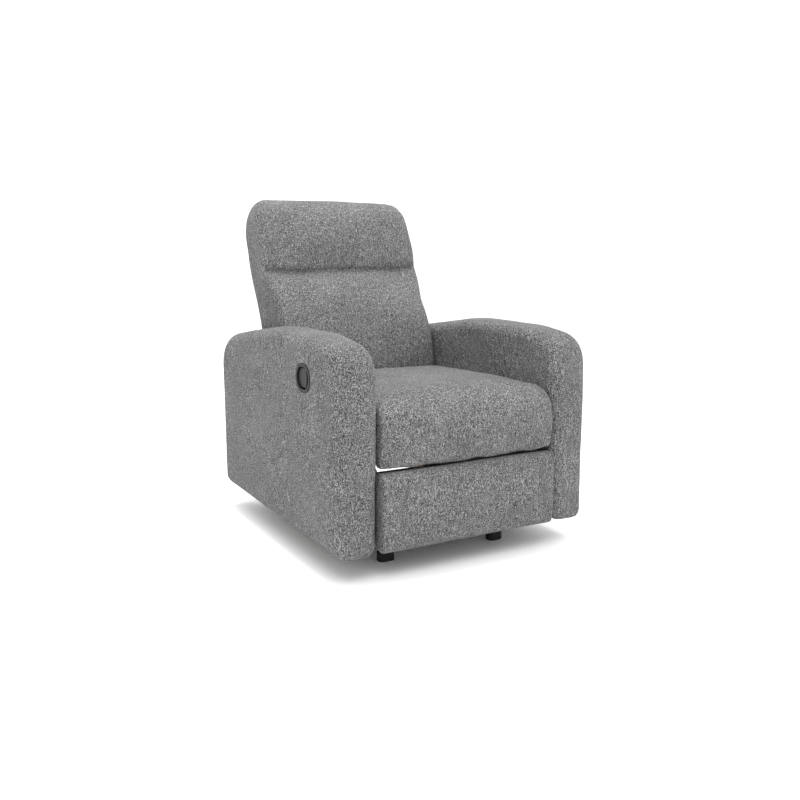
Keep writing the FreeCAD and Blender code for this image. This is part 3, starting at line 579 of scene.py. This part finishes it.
def make_back():
    """The whole back in one sewn cover: lower pillow, head pillow, side boxing, outside."""
    low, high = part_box("lumbar_cushion")
    head_low, head_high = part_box("headrest_cushion")
    shell_low, shell_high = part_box("outside_back")
    front, foot = low.y, low.z
    neck, crown, rear = head_low.y, head_high.z, head_high.y
    ring = corner_outline([
        (front, foot + 0.002, 0.016), (front + 0.014, foot + 0.118, 0.4),
        (front + 0.052, foot + 0.223, 0.5), (neck, head_low.z - 0.004, 0.3),
        (neck + 0.024, head_low.z + 0.090, 0.3), (neck + 0.086, crown + 0.002, 0.064),
        (rear - 0.018, crown - 0.004, 0.056), (rear - 0.001, crown - 0.086, 0.050),
        (shell_high.y + 0.002, shell_high.z + 0.012, 0.008),
        (shell_high.y - 0.003, shell_high.z - 0.006, 0.012),
        (shell_high.y - 0.032, shell_high.z - 0.088, 0.2),
        (shell_high.y - 0.134, shell_high.z - 0.292, 0.3),
        (shell_high.y - 0.156, shell_high.z - 0.46, 0.2),
        (shell_low.y + 0.024, shell_low.z, 0.010), (shell_low.y + 0.001, shell_low.z, 0.010),
        (shell_low.y + 0.012, foot + 0.084, 0.012), (low.y + 0.118, foot + 0.084, 0.012),
        (low.y + 0.082, foot, 0.012)], 0.008)
    back = lofted("back_upholstery", ring, low.x - 0.001, high.x + 0.001, 0.026)
    face = BackFront(ring, head_low.z - 0.002)
    remesh(back, 0.006)
    face.fold(back, 0.022, 0.050, 0.060, high.x + 0.006)
    side = high.x - 0.012
    inflate(back, 0.016, hold=lambda p: (face.behind(p) > 0.060) & (p[:, 2] < crown - 0.03)
            | (np.abs(face.over_crease(p)) < 0.007) | (p[:, 2] < foot + 0.02)
            | (np.abs(p[:, 0]) > side), pressure=10.0)
    round_top_corners(back, crown, 0.058)
    face.fold(back, 0.012, 0.020, 0.026, high.x)
    face.fold(back, 0.012, 0.010, 0.010, high.x - 0.008)
    smooth(back, 0.4, 1)
    swell_sides(back, face, head_low.z - 0.125, 0.10, 0.020)
    rumple(back, 0.0026, 4.5, 7.0)
    rumple(back, 0.0010, 15.0, 8.0)
    subdivide(back)
    face.fold(back, 0.014, 0.007, 0.006, high.x - 0.002)
    dress(back, "back", "lumbar_cushion", "headrest_cushion", "outside_back",
          "back_side_pad_left", "back_side_pad_right")


def make_footrest():
    """Padded panel wrapped round its board, with the board hidden inside."""
    low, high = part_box("footrest_pad")
    front, foot, top = low.y, low.z, high.z
    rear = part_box("footrest_board")[1].y + 0.0005
    ring = corner_outline([
        (rear, foot + 0.016, 0.006), (front + 0.040, foot, 0.01),
        (front + 0.007, foot - 0.003, 0.018), (front, foot + 0.09, 0.3),
        (front + 0.004, top, 0.010), (rear, top - 0.009, 0.006)], 0.006)
    pad = lofted("footrest_upholstery", ring, low.x - 0.002, high.x + 0.002, 0.004)
    remesh(pad, 0.006)
    inflate(pad, 0.007, hold=lambda p: (p[:, 1] > front + 0.034)
            | (np.abs(p[:, 0]) > high.x - 0.006))
    smooth(pad, 0.5, 1)
    rumple(pad, 0.0022, 5.0, 11.0)
    rumple(pad, 0.0008, 17.0, 12.0)
    subdivide(pad)
    dress(pad, "footrest", "footrest_pad", "footrest_board")


def make_apron():
    """Thin padding over the board that closes the shell's rear."""
    low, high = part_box("rear_apron")
    ring = corner_outline([(low.y, low.z, 0.006), (high.y, low.z, 0.008),
                           (high.y, high.z, 0.010), (low.y, high.z, 0.006)], 0.006)
    panel = lofted("rear_apron_upholstery", ring, low.x, high.x, 0.008)
    remesh(panel, 0.0055)
    smooth(panel, 0.5, 1)
    rumple(panel, 0.0010, 6.0, 13.0)
    dress(panel, "carcass", "rear_apron")


# ---------------------------------------------------------------- studio
def make_floor():
    """Wide pale floor."""
    reach = 30.0
    mesh = bmesh.new()
    mesh.faces.new([mesh.verts.new((x * reach, y * reach, 0.0))
                    for x, y in ((-1, -1), (1, -1), (1, 1), (-1, 1))])
    data = bpy.data.meshes.new("studio_floor")
    mesh.to_mesh(data)
    mesh.free()
    data.materials.append(floor_material())
    floor = bpy.data.objects.new("studio_floor", data)
    bpy.context.scene.collection.objects.link(floor)


def add_light(name, place, target, size, power):
    data = bpy.data.lights.new(name, "AREA")
    data.shape = "DISK"
    data.size = size
    data.energy = power
    light = bpy.data.objects.new(name, data)
    light.location = place
    light.rotation_euler = (Vector(target) - Vector(place)).to_track_quat("-Z", "Y").to_euler()
    bpy.context.scene.collection.objects.link(light)


def make_studio():
    make_floor()
    middle = (0.0, 0.0, 0.5)
    add_light("key", (-1.4, -2.8, 3.4), middle, 2.2, 80)
    add_light("fill", (2.6, -2.8, 1.6), middle, 2.8, 14)
    add_light("top", (0.2, 0.5, 3.8), middle, 2.6, 110)
    world = bpy.data.worlds.new("studio_air")
    world.use_nodes = True
    background = world.node_tree.nodes["Background"]
    background.inputs["Color"].default_value = (1.0, 1.0, 1.0, 1.0)
    background.inputs["Strength"].default_value = 1.25
    bpy.context.scene.world = world
    bpy.context.scene.view_settings.view_transform = "Standard"


def make_camera():
    """View from the chair's front right, about 29 degrees off its own axis."""
    data = bpy.data.cameras.new("camera")
    data.lens = 38.24
    data.sensor_width = 36.0
    data.shift_y = -0.0856
    camera = bpy.data.objects.new("camera", data)
    camera.location = (-1.2643, -2.3549, 0.8317)
    camera.rotation_euler = (math.radians(85.0), 0.0, math.radians(-29.35))
    bpy.context.scene.collection.objects.link(camera)
    bpy.context.scene.camera = camera


make_camera()
paint_frame()
make_arm("right")
make_arm("left")
make_seat()
make_back()
make_footrest()
make_apron()
make_studio()
